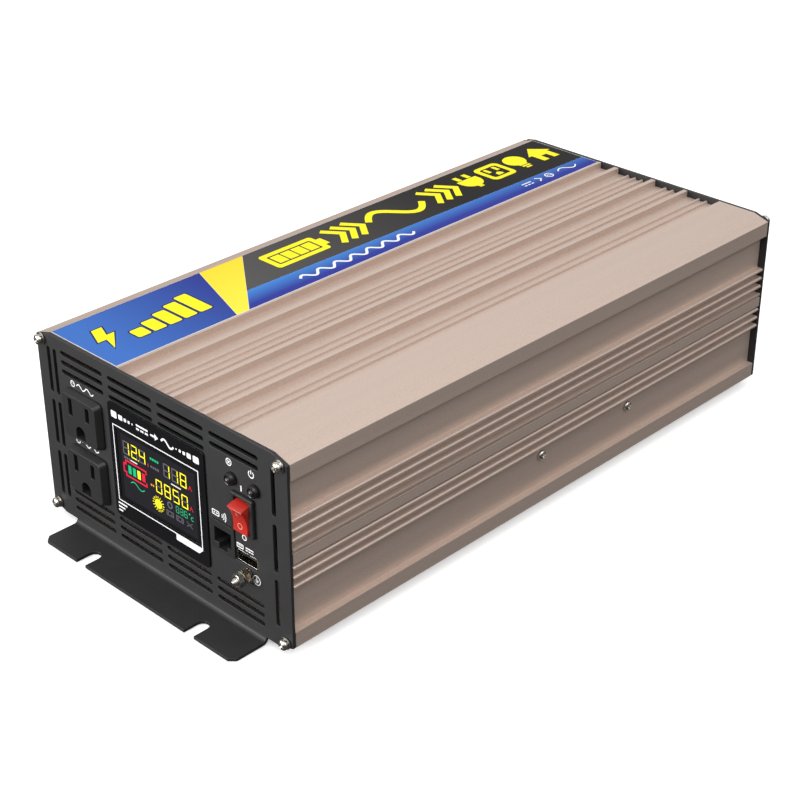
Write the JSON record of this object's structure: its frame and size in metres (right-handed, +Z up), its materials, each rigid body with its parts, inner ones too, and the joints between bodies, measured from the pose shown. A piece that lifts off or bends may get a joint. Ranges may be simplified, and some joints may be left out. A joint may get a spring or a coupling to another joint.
{
  "type": "power inverter",
  "caption": "Box-shaped direct-current to mains inverter in a ribbed extruded case with sockets, display, rocker switch, rear fan and slotted mounting feet.",
  "frame": {"origin": "under the middle of the body, on the plane the two mounting feet stand on", "axes": "+X to the right seen from the socket side, +Y from the front panel to the rear panel, +Z up"},
  "size_m": [0.172, 0.388, 0.1016],
  "materials": {
    "champagne_anodised": "satin champagne anodised extrusion",
    "black_powder_coat": "fine textured powder coat",
    "black_plastic": "moulded satin black plastic",
    "gloss_black_film": "glossy black overlay film",
    "lcd_glass": "dark polished display window",
    "label_film": "printed satin film",
    "rocker_red": "moulded red plastic",
    "plated_steel": "bright nickel plated",
    "brass": "turned brass",
    "copper": "bare copper",
    "plain_aluminium": "mill finish",
    "board_green": "solder mask",
    "ferrite_and_tape": "yellow tape over dark ferrite",
    "capacitor_sleeve": "heat-shrunk sleeve",
    "terminal_red": "moulded red plastic",
    "led_red": "tinted clear resin",
    "led_green": "tinted clear resin"
  },
  "bodies": {
    "chassis": {"ac_outlet_lower": "black_plastic", "ac_outlet_upper": "black_plastic", "bus_capacitor": "capacitor_sleeve", "case_lower": "champagne_anodised", "case_upper": "champagne_anodised", "dc_insulator_negative": "black_plastic", "dc_insulator_positive": "terminal_red", "dc_nut_negative": "brass", "dc_nut_positive": "brass", "dc_strap_negative": "copper", "dc_strap_positive": "copper", "dc_stud_negative": "brass", "dc_stud_positive": "brass", "display_board": "board_green", "display_overlay": "gloss_black_film", "fan_frame": "black_plastic", "fan_guard": "plated_steel", "fan_screw_1": "plated_steel", "fan_screw_2": "plated_steel", "fan_screw_3": "plated_steel", "fan_screw_4": "plated_steel", "fault_led": "led_red", "fault_led_bezel": "black_plastic", "front_panel": "black_powder_coat", "front_screw_lower_left": "plated_steel", "front_screw_lower_right": "plated_steel", "front_screw_upper_left": "plated_steel", "front_screw_upper_right": "plated_steel", "ground_flat_washer": "plated_steel", "ground_inner_nut": "plated_steel", "ground_lock_washer": "plated_steel", "ground_outer_nut": "plated_steel", "ground_stud": "plated_steel", "heat_sink_left": "plain_aluminium", "heat_sink_right": "plain_aluminium", "input_capacitor": "capacitor_sleeve", "lcd_module": "lcd_glass", "main_board": "board_green", "output_choke": "copper", "power_led": "led_green", "power_led_bezel": "black_plastic", "rear_panel": "black_powder_coat", "rear_screw_lower_left": "plated_steel", "rear_screw_lower_right": "plated_steel", "rear_screw_upper_left": "plated_steel", "rear_screw_upper_right": "plated_steel", "remote_jack": "black_plastic", "side_screw_left_1": "plated_steel", "side_screw_left_2": "plated_steel", "side_screw_right_1": "plated_steel", "side_screw_right_2": "plated_steel", "switch_housing": "black_plastic", "top_label": "label_film", "transformer_1": "ferrite_and_tape", "transformer_2": "ferrite_and_tape", "transformer_3": "ferrite_and_tape", "usb_shell": "plated_steel", "usb_tongue": "black_plastic"},
    "rocker": {"switch_rocker": "rocker_red"},
    "fan_wheel": {"fan_rotor": "black_plastic"}
  },
  "joints": [
    {"name": "rocker_toggle", "type": "hinge", "parent": "chassis", "child": "rocker", "pos_m": [0.058, -0.171, 0.0633], "axis": [-1, 0, 0], "range_deg": [0, 26]},
    {"name": "fan_spin", "type": "hinge", "parent": "chassis", "child": "fan_wheel", "pos_m": [0.036, 0.15, 0.0526], "axis": [0, 1, 0], "continuous": true}
  ]
}
